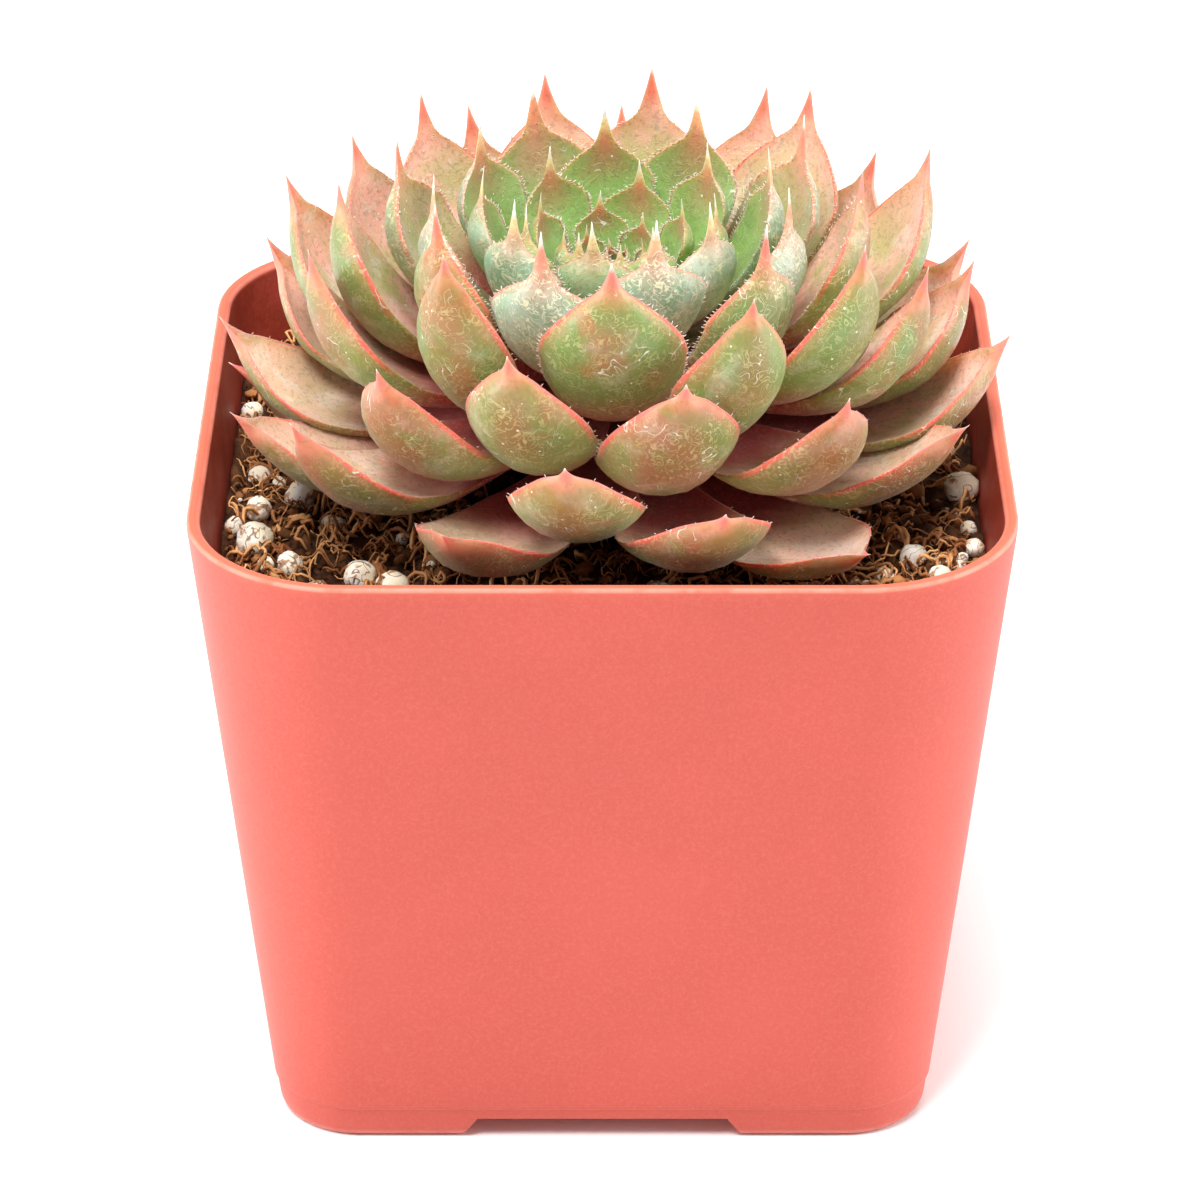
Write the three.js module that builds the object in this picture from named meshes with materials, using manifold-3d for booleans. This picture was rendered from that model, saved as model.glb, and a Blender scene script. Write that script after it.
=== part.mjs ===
// Potted succulent: a hen-and-chicks rosette in a square nursery pot.
// Millimetres, +Z up. The origin is on the ground under the centre of the pot.
import * as THREE from 'three';
import { mergeVertices } from 'three/addons/utils/BufferGeometryUtils.js';
import Module from 'manifold-3d';

const wasm = await Module();
wasm.setup();

// Clear gap between neighbouring pieces.
const GAP = 0.3;
// How far a cutting solid reaches past what it cuts.
const CUT_MARGIN = 1;
// Points closer than this are one point.
const WELD = 1e-4;
// Facets round the stem, the drain holes and the bud's core.
const ROUND_FACETS = 12;

// Pot: a tapered shell with rounded corners, four hollow feet, and a cross of channels between them
// with a round drain hole in each arm.
const POT_TOP_HALF = 30;
const POT_BASE_HALF = 24.55;
const POT_TOP_CORNER = 11.9;
const POT_BASE_CORNER = 6.3;
const POT_HEIGHT = 49.4;
const POT_WALL = 1;
const POT_EDGE_ROUND = 0.35;
const POT_FLOOR = 1.2;
const CHANNEL_HEIGHT = 1.8;
const CHANNEL_HALF_AT_TOP = 9.35;
const CHANNEL_HALF_AT_GROUND = 10.6;
const DRAIN_RADIUS = 2.2;
const DRAIN_REACH = 17.5;
const CORNER_STEPS = 5;

// Soil: fills the pot and stops a little below the rim.
const SOIL_TOP = 43;
const SOIL_RINGS = 5;
const SOIL_LUMP = 0.45;
const SOIL_SHOULDER = 1;
const SOIL_EDGE_INSET = 0.2;
const SOIL_SEED = 7;

// Stem with its taproot and side roots.
const STEM_FOOT = 41;
const STEM_TOP = 52.6;
const STEM_RADIUS = 4.3;
const STEM_NECK_RADIUS = 2.1;
const TAPROOT_LENGTH = 17;
const TAPROOT_WAIST_RADIUS = 2.4;
const TAPROOT_WAIST_DROP = 7.6;
const ROOT_COUNT = 5;
const FIRST_ROOT_ANGLE = 0.4;
const ROOT_START_DROP = 4;
const ROOT_RADIUS = 0.8;
const ROOT_SPREAD = 15;
const ROOT_DROP = 20;
// A side root's path: part of its spread and part of its drop.
const ROOT_PATH = [[0, 0], [0.5, 0.2], [0.9, 0.55], [1, 1]];
const ROOT_STEPS = 5;
const ROOT_FACETS = 2;

// Rosette: leaf 0 is the oldest and lowest, and each next leaf grows one golden angle further round.
const ROSETTE_CENTRE = new THREE.Vector2(0.8, -0.3);
const GOLDEN_ANGLE = 137.5;
const FIRST_LEAF_ANGLE = 305;
const LEAF_COUNT = 88;
const FIRST_BUD_LEAF = 57;
// Old leaves that have dropped off.
const SHED_LEAVES = [10, 11, 13, 21, 24, 26, 27];
// Leaves that grew away from the even spiral: leaf number, turn in degrees, reach and lift in millimetres.
const WAYWARD_LEAVES = [
  [0, 3, 0, -0.4],
  [3, -7, -0.5, 0.4],
  [5, -7, -0.3, 1.4],
  [6, 0, 0.3, 0],
  [14, -4, 0.3, -0.6],
  [16, -2, -0.5, 1.2],
  [18, 3, 0.5, -0.5],
  [19, 6, 0.8, -1.2],
  [23, -4, 1, -0.5],
  [29, 4, 0, 0],
  [31, 0, 2, -2],
  [32, 3, 1, -2],
  [34, 0, 2.5, -4],
  [35, -8, 1, 1.5],
  [37, -5, 0.5, -0.5],
  [38, -3, 0, 0],
  [39, 0, 0.8, -1],
  [40, -8, 0, -0.5],
  [41, -8, 0, 0.8],
  [42, 6, 0, 0.5],
  [43, -2, -0.3, 0],
  [44, -1, 2.2, 0.8],
  [45, -4, 0, 1.5],
  [46, 4, 0, -0.5],
  [47, 5, 1.2, -0.8],
  [49, -3, 1, 0],
  [51, 4, 0.6, -0.3],
  [53, 0, -1.5, 0],
  [55, 8, 0.5, 0],
];
const LOWEST_LEAF_BASE = 46.8;
const HIGHEST_LEAF_BASE = 57.8;
const LEAF_BASE_RADIUS = 4.8;
const BUD_BASE_RADIUS = 0.9;
// How far the bases of the bud's leaves reach into its core.
const BUD_SINK = 0.8;
// Design curves down the spiral: pairs of leaf number and value in millimetres.
const TIP_RADIUS = [
  [0, 29.8], [18, 29], [29, 24.2], [40, 22.4], [50, 18.6],
  [58, 15.2], [66, 10.9], [77, 5.6], [88, 1.3],
];
const TIP_HEIGHT = [
  [0, 49.4], [6, 54], [18, 57.6], [29, 62.4], [37, 64.4],
  [45, 67.8], [52, 70], [66, 69.8], [77, 66], [88, 62.6],
];
// Extra reach of the leaves that grow towards the back, where the rosette opens wider.
const BACK_REACH = [[0, 0], [16, 0], [30, 2], [46, 2], [60, 0], [88, 0]];
const HALF_WIDTH = [[0, 5.5], [20, 5.4], [50, 5.3], [60, 4.8], [70, 3.5], [80, 2.3], [88, 1.1]];
const THICKNESS = [[0, 1.8], [22, 1.7], [40, 2], [50, 2.5], [66, 1.9], [80, 1.1], [88, 0.7]];
// Pitch of the middle line above level, in degrees, where a leaf leaves the stem and at its tip.
const BASE_PITCH = [[0, 2], [29, 2], [50, 8], [66, 32], [88, 80]];
const TIP_PITCH = [[0, 26], [3, 40], [8, 50], [18, 58], [29, 68], [40, 77], [50, 86], [66, 96], [88, 96]];
// Length of the curve's two handles as part of the straight line from base to tip.
const BASE_HANDLE = 0.48;
const TIP_HANDLE = 0.44;
// Stations along a leaf: part of the length, part of the full width, part of the full thickness.
const LEAF_STATIONS = [
  [0, 0.36, 0.22],
  [0.24, 0.52, 0.5],
  [0.46, 0.8, 0.85],
  [0.64, 0.99, 1],
  [0.77, 0.94, 0.9],
  [0.85, 0.7, 0.66],
  [0.91, 0.32, 0.36],
  [0.945, 0.1, 0.2],
];
// The bud's leaves are small, so every other station is enough.
const BUD_STATION_STEP = 2;
// Section of a leaf: the margins' depth below the upper face, the dip of that face as part of the thickness,
// and where the lower face turns from flank to keel, as parts of the half width and of the thickness.
const LEAF_EDGE = 0.12;
const UPPER_FACE_DIP = 0.15;
const FLANK_ACROSS = 0.55;
const FLANK_DEPTH = 0.72;
const BUD_CORE_CAP = 0.3;

// Perlite grains half sunk in the soil: x, y and radius.
const GRAINS = [
  [27, -2.2, 1.3],
  [-25.6, -11, 1.45],
  [-25.6, -5.6, 1.1],
  [-17.6, -16.6, 1.25],
  [22.8, -13.2, 1],
  [4, -19, 1.1],
];
// How far a grain's centre stands above the soil, and how uneven the grain is, as parts of its radius.
const GRAIN_RISE = 0.35;
const GRAIN_UNEVENNESS = 0.07;
const GRAIN_SEED = 101;

// The same sequence of numbers between -1 and 1 on every build.
function makeJitter(seed) {
  const multiplier = 16807;
  const modulus = 2147483647;
  let state = seed;
  return () => {
    state = (state * multiplier) % modulus;
    return (state / modulus) * 2 - 1;
  };
}

// Value of a design curve at a leaf number, straight between its points.
function along(curve, position) {
  for (let i = 1; i < curve.length; i += 1) {
    const [x0, y0] = curve[i - 1];
    const [x1, y1] = curve[i];
    if (position <= x1) {
      return y0 + ((y1 - y0) * (position - x0)) / (x1 - x0);
    }
  }
  return curve[curve.length - 1][1];
}

// A closed skin through rings of points. A ring of one point closes an end.
function loft(rings) {
  const positions = [];
  const starts = [];
  for (const ring of rings) {
    starts.push(positions.length / 3);
    for (const point of ring) {
      positions.push(point.x, point.y, point.z);
    }
  }
  const faces = [];
  for (let k = 1; k < rings.length; k += 1) {
    const low = rings[k - 1].length;
    const high = rings[k].length;
    const count = Math.max(low, high);
    for (let i = 0; i < count; i += 1) {
      const next = (i + 1) % count;
      const a = starts[k - 1] + (low === 1 ? 0 : i);
      const b = starts[k - 1] + (low === 1 ? 0 : next);
      const c = starts[k] + (high === 1 ? 0 : next);
      const d = starts[k] + (high === 1 ? 0 : i);
      if (low > 1) {
        faces.push(a, b, high === 1 ? d : c);
      }
      if (high > 1) {
        faces.push(a, c, d);
      }
    }
  }
  const geometry = new THREE.BufferGeometry();
  geometry.setAttribute('position', new THREE.Float32BufferAttribute(positions, 3));
  geometry.setIndex(faces);
  return geometry;
}

function toSolid(geometry) {
  const bare = geometry.clone();
  bare.deleteAttribute('normal');
  bare.deleteAttribute('uv');
  const merged = mergeVertices(bare, WELD);
  return new wasm.Manifold(new wasm.Mesh({
    numProp: 3,
    vertProperties: new Float32Array(merged.attributes.position.array),
    triVerts: new Uint32Array(merged.index.array),
  }));
}

function toGeometry(solid) {
  const mesh = solid.getMesh();
  const geometry = new THREE.BufferGeometry();
  geometry.setAttribute('position', new THREE.Float32BufferAttribute(mesh.vertProperties, 3));
  geometry.setIndex(new THREE.Uint32BufferAttribute(mesh.triVerts, 1));
  return geometry;
}

// ---- Pot ----

// Outline of a square with rounded corners, counter-clockwise as seen from above.
function roundedSquare(half, corner, z) {
  const points = [];
  for (let quarter = 0; quarter < 4; quarter += 1) {
    const turn = (quarter * Math.PI) / 2;
    const signX = quarter === 0 || quarter === 3 ? 1 : -1;
    const signY = quarter < 2 ? 1 : -1;
    for (let i = 0; i <= CORNER_STEPS; i += 1) {
      const angle = turn + (i / CORNER_STEPS) * (Math.PI / 2);
      points.push(new THREE.Vector3(
        signX * (half - corner) + corner * Math.cos(angle),
        signY * (half - corner) + corner * Math.sin(angle),
        z,
      ));
    }
  }
  return points;
}

// Outline of the pot's taper at a height, moved in from the outer face.
function potOutline(z, inset) {
  const t = z / POT_HEIGHT;
  const half = THREE.MathUtils.lerp(POT_BASE_HALF, POT_TOP_HALF, t) - inset;
  const corner = THREE.MathUtils.lerp(POT_BASE_CORNER, POT_TOP_CORNER, t) - inset;
  return roundedSquare(half, corner, z);
}

function axisPoint(z) {
  return [new THREE.Vector3(0, 0, z)];
}

// The pot's taper as a solid between two heights, with its sides moved in from the outer face.
function taperSolid(zLow, zHigh, inset) {
  return toSolid(loft([
    axisPoint(zLow),
    potOutline(zLow, inset),
    potOutline(zHigh, inset),
    axisPoint(zHigh),
  ]));
}

// A cross of two bars with sloped sides, as wide as the channels between the feet.
function channelCross(zLow, zHigh, grow) {
  const reach = POT_TOP_HALF + CUT_MARGIN;
  const slope = (CHANNEL_HALF_AT_GROUND - CHANNEL_HALF_AT_TOP) / CHANNEL_HEIGHT;
  const halfAt = (z) => CHANNEL_HALF_AT_GROUND - slope * z + grow;
  const bar = (alongX) => toSolid(loft([
    axisPoint(zLow),
    barOutline(halfAt(zLow), reach, zLow, alongX),
    barOutline(halfAt(zHigh), reach, zHigh, alongX),
    axisPoint(zHigh),
  ]));
  return bar(true).add(bar(false));
}

function barOutline(half, reach, z, alongX) {
  const x = alongX ? reach : half;
  const y = alongX ? half : reach;
  return [
    new THREE.Vector3(x, y, z),
    new THREE.Vector3(-x, y, z),
    new THREE.Vector3(-x, -y, z),
    new THREE.Vector3(x, -y, z),
  ];
}

function drainHole(angle) {
  const length = POT_FLOOR + 2 * CUT_MARGIN;
  const hole = new THREE.CylinderGeometry(DRAIN_RADIUS, DRAIN_RADIUS, length, ROUND_FACETS);
  hole.rotateX(Math.PI / 2);
  hole.translate(
    DRAIN_REACH * Math.cos(angle),
    DRAIN_REACH * Math.sin(angle),
    CHANNEL_HEIGHT + POT_FLOOR / 2,
  );
  return toSolid(hole);
}

function buildPot() {
  const shell = toSolid(loft([
    axisPoint(0),
    potOutline(0, POT_EDGE_ROUND * 2),
    potOutline(POT_EDGE_ROUND * 2, 0),
    potOutline(POT_HEIGHT - POT_EDGE_ROUND, 0),
    potOutline(POT_HEIGHT, POT_EDGE_ROUND),
    axisPoint(POT_HEIGHT),
  ]));
  const raisedFloor = channelCross(0, CHANNEL_HEIGHT + POT_FLOOR, POT_FLOOR);
  const hollow = taperSolid(POT_FLOOR, POT_HEIGHT + CUT_MARGIN, POT_WALL).subtract(raisedFloor);
  let pot = shell.subtract(hollow).subtract(channelCross(-CUT_MARGIN, CHANNEL_HEIGHT, 0));
  for (let i = 0; i < 4; i += 1) {
    pot = pot.subtract(drainHole((i * Math.PI) / 2));
  }
  return toGeometry(pot);
}

// ---- Stem and roots ----

function stemSolid(grow) {
  const profile = [
    new THREE.Vector2(0, STEM_FOOT - TAPROOT_LENGTH - grow),
    new THREE.Vector2(ROOT_RADIUS + grow, STEM_FOOT - TAPROOT_LENGTH - grow / 2),
    new THREE.Vector2(TAPROOT_WAIST_RADIUS + grow, STEM_FOOT - TAPROOT_WAIST_DROP),
    new THREE.Vector2(STEM_RADIUS + grow, STEM_FOOT),
    new THREE.Vector2(STEM_RADIUS + grow, LOWEST_LEAF_BASE),
    new THREE.Vector2(STEM_NECK_RADIUS + grow, STEM_TOP + grow),
    new THREE.Vector2(0, STEM_TOP + grow),
  ];
  const lathe = new THREE.LatheGeometry(profile, ROUND_FACETS);
  lathe.rotateX(Math.PI / 2);
  lathe.translate(ROSETTE_CENTRE.x, ROSETTE_CENTRE.y, 0);
  return toSolid(lathe);
}

function rootSolid(index, grow) {
  const angle = (index / ROOT_COUNT) * Math.PI * 2 + FIRST_ROOT_ANGLE;
  const points = ROOT_PATH.map(([spreadPart, dropPart]) => new THREE.Vector3(
    ROSETTE_CENTRE.x + ROOT_SPREAD * spreadPart * Math.cos(angle),
    ROSETTE_CENTRE.y + ROOT_SPREAD * spreadPart * Math.sin(angle),
    STEM_FOOT - ROOT_START_DROP - ROOT_DROP * dropPart,
  ));
  points[points.length - 1].z -= grow;
  const path = new THREE.CatmullRomCurve3(points);
  const section = new THREE.Shape();
  section.absarc(0, 0, ROOT_RADIUS + grow, 0, Math.PI * 2);
  const tube = new THREE.ExtrudeGeometry(section, {
    extrudePath: path,
    steps: ROOT_STEPS,
    curveSegments: ROOT_FACETS,
  });
  return toSolid(tube);
}

function rootedStem(grow) {
  let solid = stemSolid(grow);
  for (let i = 0; i < ROOT_COUNT; i += 1) {
    solid = solid.add(rootSolid(i, grow));
  }
  return solid;
}

// ---- Perlite ----

function grainSolid(index, grow) {
  const [x, y, radius] = GRAINS[index];
  const jitter = makeJitter(GRAIN_SEED + index);
  const ball = new THREE.IcosahedronGeometry(1, 1);
  ball.deleteAttribute('normal');
  ball.deleteAttribute('uv');
  const grain = mergeVertices(ball, WELD);
  const position = grain.attributes.position;
  for (let i = 0; i < position.count; i += 1) {
    const scale = radius * (1 + GRAIN_UNEVENNESS * jitter()) + grow;
    position.setXYZ(i, position.getX(i) * scale, position.getY(i) * scale, position.getZ(i) * scale);
  }
  grain.translate(x, y, SOIL_TOP + radius * GRAIN_RISE);
  return toSolid(grain);
}

// ---- Soil ----

function buildSoil() {
  const jitter = makeJitter(SOIL_SEED);
  const rings = [
    axisPoint(POT_FLOOR + GAP),
    potOutline(POT_FLOOR + GAP, POT_WALL + GAP),
    potOutline(SOIL_TOP - SOIL_SHOULDER, POT_WALL + GAP),
  ];
  for (let k = 0; k < SOIL_RINGS; k += 1) {
    const scale = 1 - k / SOIL_RINGS;
    const ring = potOutline(SOIL_TOP, POT_WALL + GAP + SOIL_EDGE_INSET);
    for (const point of ring) {
      point.x *= scale;
      point.y *= scale;
      point.z += SOIL_LUMP * jitter();
    }
    rings.push(ring);
  }
  rings.push(axisPoint(SOIL_TOP));
  const raisedFloor = channelCross(0, CHANNEL_HEIGHT + POT_FLOOR + GAP, POT_FLOOR + GAP);
  let soil = toSolid(loft(rings)).subtract(raisedFloor).subtract(rootedStem(GAP));
  for (let i = 0; i < GRAINS.length; i += 1) {
    soil = soil.subtract(grainSolid(i, GAP));
  }
  return toGeometry(soil);
}

// ---- Leaves ----

// Direction of a leaf round the axis, and how far it reaches and rises beyond its place in the spiral.
function leafHabit(index) {
  const wayward = WAYWARD_LEAVES.find(([number]) => number === index);
  const [, turn, reach, lift] = wayward || [index, 0, 0, 0];
  const angle = THREE.MathUtils.degToRad(FIRST_LEAF_ANGLE - GOLDEN_ANGLE * index + turn);
  return { angle, reach, lift };
}

// The middle line of a leaf, as distance from the rosette's axis and height.
function leafCurve(index) {
  const { angle, reach, lift } = leafHabit(index);
  const backward = (1 + Math.sin(angle)) / 2;
  const part = index / LEAF_COUNT;
  const sink = index < FIRST_BUD_LEAF ? 0 : BUD_SINK;
  const base = new THREE.Vector2(
    THREE.MathUtils.lerp(LEAF_BASE_RADIUS, BUD_BASE_RADIUS, part) - sink,
    THREE.MathUtils.lerp(LOWEST_LEAF_BASE, HIGHEST_LEAF_BASE, part),
  );
  const tip = new THREE.Vector2(
    along(TIP_RADIUS, index) + along(BACK_REACH, index) * backward + reach,
    along(TIP_HEIGHT, index) + lift,
  );
  const span = tip.distanceTo(base);
  const heading = (pitch) => {
    const radians = THREE.MathUtils.degToRad(pitch);
    return new THREE.Vector2(Math.cos(radians), Math.sin(radians));
  };
  return new THREE.CubicBezierCurve(
    base,
    base.clone().addScaledVector(heading(along(BASE_PITCH, index)), span * BASE_HANDLE),
    tip.clone().addScaledVector(heading(along(TIP_PITCH, index)), -span * TIP_HANDLE),
    tip,
  );
}

// A point on a leaf: how far along, how far from the middle line across, and how far below the upper face.
function leafPoint(curve, angle, part, across, depth) {
  const middle = curve.getPoint(part);
  const heading = curve.getTangent(part);
  const radius = middle.x + heading.y * depth;
  const height = middle.y - heading.x * depth;
  const turn = angle + across / Math.max(middle.x, 1);
  return new THREE.Vector3(
    ROSETTE_CENTRE.x + radius * Math.cos(turn),
    ROSETTE_CENTRE.y + radius * Math.sin(turn),
    height,
  );
}

function leafGeometry(index, stationStep) {
  const curve = leafCurve(index);
  const { angle } = leafHabit(index);
  const halfWidth = along(HALF_WIDTH, index);
  const thickness = along(THICKNESS, index);
  const rings = [];
  for (let i = 0; i < LEAF_STATIONS.length; i += stationStep) {
    const [part, widthPart, thickPart] = LEAF_STATIONS[i];
    const half = halfWidth * widthPart;
    const thick = thickness * thickPart;
    const dip = thick * UPPER_FACE_DIP;
    const point = (across, depth) => leafPoint(curve, angle, part, across, depth);
    rings.push([
      point(-half, LEAF_EDGE),
      point(-half * FLANK_ACROSS, thick * FLANK_DEPTH),
      point(0, thick),
      point(half * FLANK_ACROSS, thick * FLANK_DEPTH),
      point(half, LEAF_EDGE),
      point(0, dip),
    ]);
  }
  const [rootPart, , rootThickPart] = LEAF_STATIONS[0];
  const root = leafPoint(curve, angle, rootPart, 0, (thickness * rootThickPart) / 2);
  const tip = leafPoint(curve, angle, 1, 0, 0);
  return loft([[root], ...rings, [tip]]);
}

function buildBud() {
  const core = new THREE.LatheGeometry([
    new THREE.Vector2(0, STEM_TOP + GAP),
    new THREE.Vector2(STEM_NECK_RADIUS, STEM_TOP + GAP),
    new THREE.Vector2(BUD_BASE_RADIUS + BUD_CORE_CAP, HIGHEST_LEAF_BASE + BUD_CORE_CAP),
    new THREE.Vector2(0, HIGHEST_LEAF_BASE + 2 * BUD_CORE_CAP),
  ], ROUND_FACETS);
  core.rotateX(Math.PI / 2);
  core.translate(ROSETTE_CENTRE.x, ROSETTE_CENTRE.y, 0);
  let bud = toSolid(core);
  for (let index = FIRST_BUD_LEAF; index < LEAF_COUNT; index += 1) {
    bud = bud.add(toSolid(leafGeometry(index, BUD_STATION_STEP)));
  }
  return toGeometry(bud);
}

// ---- Assembly ----

function material(color, roughness) {
  return new THREE.MeshStandardMaterial({ color, roughness, metalness: 0 });
}

const group = new THREE.Group();
group.name = 'potted_succulent';

function addPiece(name, geometry, pieceMaterial) {
  const flat = geometry.toNonIndexed();
  flat.computeVertexNormals();
  const mesh = new THREE.Mesh(flat, pieceMaterial);
  mesh.name = name;
  group.add(mesh);
}

function numbered(prefix, number) {
  return `${prefix}_${String(number).padStart(2, '0')}`;
}

addPiece('pot', buildPot(), material(0xe8705f, 0.6));
addPiece('soil', buildSoil(), material(0x3a2416, 0.95));
addPiece('stem_and_roots', toGeometry(rootedStem(0)), material(0x8a6a4a, 0.85));
for (let i = 0; i < GRAINS.length; i += 1) {
  addPiece(numbered('perlite', i + 1), toGeometry(grainSolid(i, 0)), material(0xe6dfd0, 0.9));
}
for (let index = 0; index < FIRST_BUD_LEAF; index += 1) {
  if (!SHED_LEAVES.includes(index)) {
    addPiece(numbered('leaf', index), leafGeometry(index, 1), material(0x8fa06a, 0.55));
  }
}
addPiece('bud', buildBud(), material(0x7fae6a, 0.55));

export default group;
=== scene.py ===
import math
import random

import bmesh
import bpy
import numpy as np
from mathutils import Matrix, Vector, noise


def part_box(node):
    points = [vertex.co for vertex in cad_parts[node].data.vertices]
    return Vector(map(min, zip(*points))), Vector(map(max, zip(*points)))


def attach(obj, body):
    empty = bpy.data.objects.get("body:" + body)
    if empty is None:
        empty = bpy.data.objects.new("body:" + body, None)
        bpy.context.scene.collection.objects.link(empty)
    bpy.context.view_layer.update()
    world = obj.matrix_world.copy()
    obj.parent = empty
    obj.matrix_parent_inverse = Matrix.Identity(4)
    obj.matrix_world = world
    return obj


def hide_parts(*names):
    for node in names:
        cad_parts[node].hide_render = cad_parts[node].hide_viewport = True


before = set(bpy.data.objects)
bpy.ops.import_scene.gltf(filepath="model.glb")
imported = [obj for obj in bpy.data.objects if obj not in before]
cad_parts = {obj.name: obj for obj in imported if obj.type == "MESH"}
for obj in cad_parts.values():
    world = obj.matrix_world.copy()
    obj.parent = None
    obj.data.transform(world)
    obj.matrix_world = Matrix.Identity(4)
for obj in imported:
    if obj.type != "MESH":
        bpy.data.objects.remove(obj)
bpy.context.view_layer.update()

MM = 0.001


# ---------------------------------------------------------------- helpers

def srgb(red, green, blue):
    """A colour given as 0 to 255 display values, as linear RGBA."""
    out = []
    for value in (red, green, blue):
        part = value / 255.0
        out.append(part / 12.92 if part <= 0.04045 else ((part + 0.055) / 1.055) ** 2.4)
    return (out[0], out[1], out[2], 1.0)


def along(curve, position):
    """Value of a design curve, straight between its points."""
    return float(np.interp(position, [p[0] for p in curve], [p[1] for p in curve]))


def smoothstep(low, high, value):
    t = np.clip((value - low) / (high - low), 0.0, 1.0)
    return t * t * (3.0 - 2.0 * t)


def mesh_piece(name, vertices, faces, materials, attributes=None, face_material=None):
    """A mesh object, its vertices given in millimetres, with vector attributes on its points."""
    mesh = bpy.data.meshes.new(name)
    mesh.from_pydata((np.asarray(vertices) * MM).tolist(), [], faces)
    for key, values in (attributes or {}).items():
        layer = mesh.attributes.new(key, "FLOAT_VECTOR", "POINT")
        layer.data.foreach_set("vector", np.asarray(values, dtype=np.float32).ravel())
    for material in materials:
        mesh.materials.append(material)
    if face_material is not None:
        mesh.polygons.foreach_set("material_index", np.asarray(face_material, dtype=np.int32))
    mesh.polygons.foreach_set("use_smooth", [True] * len(mesh.polygons))
    mesh.update()
    piece = bpy.data.objects.new(name, mesh)
    bpy.context.scene.collection.objects.link(piece)
    return piece


class Shader:
    """A material's node tree, built by short calls."""

    def __init__(self, name):
        self.material = bpy.data.materials.new(name)
        self.material.use_nodes = True
        self.tree = self.material.node_tree
        self.tree.nodes.clear()
        self.output = self.tree.nodes.new("ShaderNodeOutputMaterial")
        self.surface = self.tree.nodes.new("ShaderNodeBsdfPrincipled")
        self.tree.links.new(self.surface.outputs["BSDF"], self.output.inputs["Surface"])

    def feed(self, socket, value):
        if isinstance(value, bpy.types.NodeSocket):
            self.tree.links.new(value, socket)
        else:
            socket.default_value = value

    def set(self, **values):
        for key, value in values.items():
            self.feed(self.surface.inputs[key.replace("_", " ")], value)

    def attribute(self, name):
        node = self.tree.nodes.new("ShaderNodeAttribute")
        node.attribute_name = name
        split = self.tree.nodes.new("ShaderNodeSeparateXYZ")
        self.tree.links.new(node.outputs["Vector"], split.inputs[0])
        return split.outputs[0], split.outputs[1], split.outputs[2]

    def place(self):
        return self.tree.nodes.new("ShaderNodeTexCoord").outputs["Object"]

    def math(self, operation, a, b=0.0, clamp=False):
        node = self.tree.nodes.new("ShaderNodeMath")
        node.operation = operation
        node.use_clamp = clamp
        self.feed(node.inputs[0], a)
        self.feed(node.inputs[1], b)
        return node.outputs[0]

    def ramp(self, value, low, high, to_low=0.0, to_high=1.0):
        """value taken from low..high to to_low..to_high along a smooth step."""
        node = self.tree.nodes.new("ShaderNodeMapRange")
        node.interpolation_type = "SMOOTHSTEP"
        self.feed(node.inputs["Value"], value)
        self.feed(node.inputs["From Min"], low)
        self.feed(node.inputs["From Max"], high)
        self.feed(node.inputs["To Min"], to_low)
        self.feed(node.inputs["To Max"], to_high)
        return node.outputs["Result"]

    def mix(self, factor, a, b):
        node = self.tree.nodes.new("ShaderNodeMix")
        node.data_type = "RGBA"
        self.feed(node.inputs["Factor"], factor)
        colours = [s for s in node.inputs if s.type == "RGBA"]
        self.feed(colours[0], a)
        self.feed(colours[1], b)
        return [s for s in node.outputs if s.type == "RGBA"][0]

    def noise(self, scale, detail=2.0, roughness=0.5, distortion=0.0, vector=None):
        node = self.tree.nodes.new("ShaderNodeTexNoise")
        self.feed(node.inputs["Vector"], vector if vector is not None else self.place())
        node.inputs["Scale"].default_value = scale
        node.inputs["Detail"].default_value = detail
        node.inputs["Roughness"].default_value = roughness
        node.inputs["Distortion"].default_value = distortion
        return node.outputs[0]

    def cells(self, scale, vector):
        node = self.tree.nodes.new("ShaderNodeTexVoronoi")
        self.feed(node.inputs["Vector"], vector)
        node.inputs["Scale"].default_value = scale
        return node.outputs["Distance"]

    def bump(self, height, distance_mm, strength=1.0, normal=None):
        node = self.tree.nodes.new("ShaderNodeBump")
        node.inputs["Strength"].default_value = strength
        node.inputs["Distance"].default_value = distance_mm * MM
        self.feed(node.inputs["Height"], height)
        if normal is not None:
            self.feed(node.inputs["Normal"], normal)
        return node.outputs["Normal"]


# ---------------------------------------------------------------- materials

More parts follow.
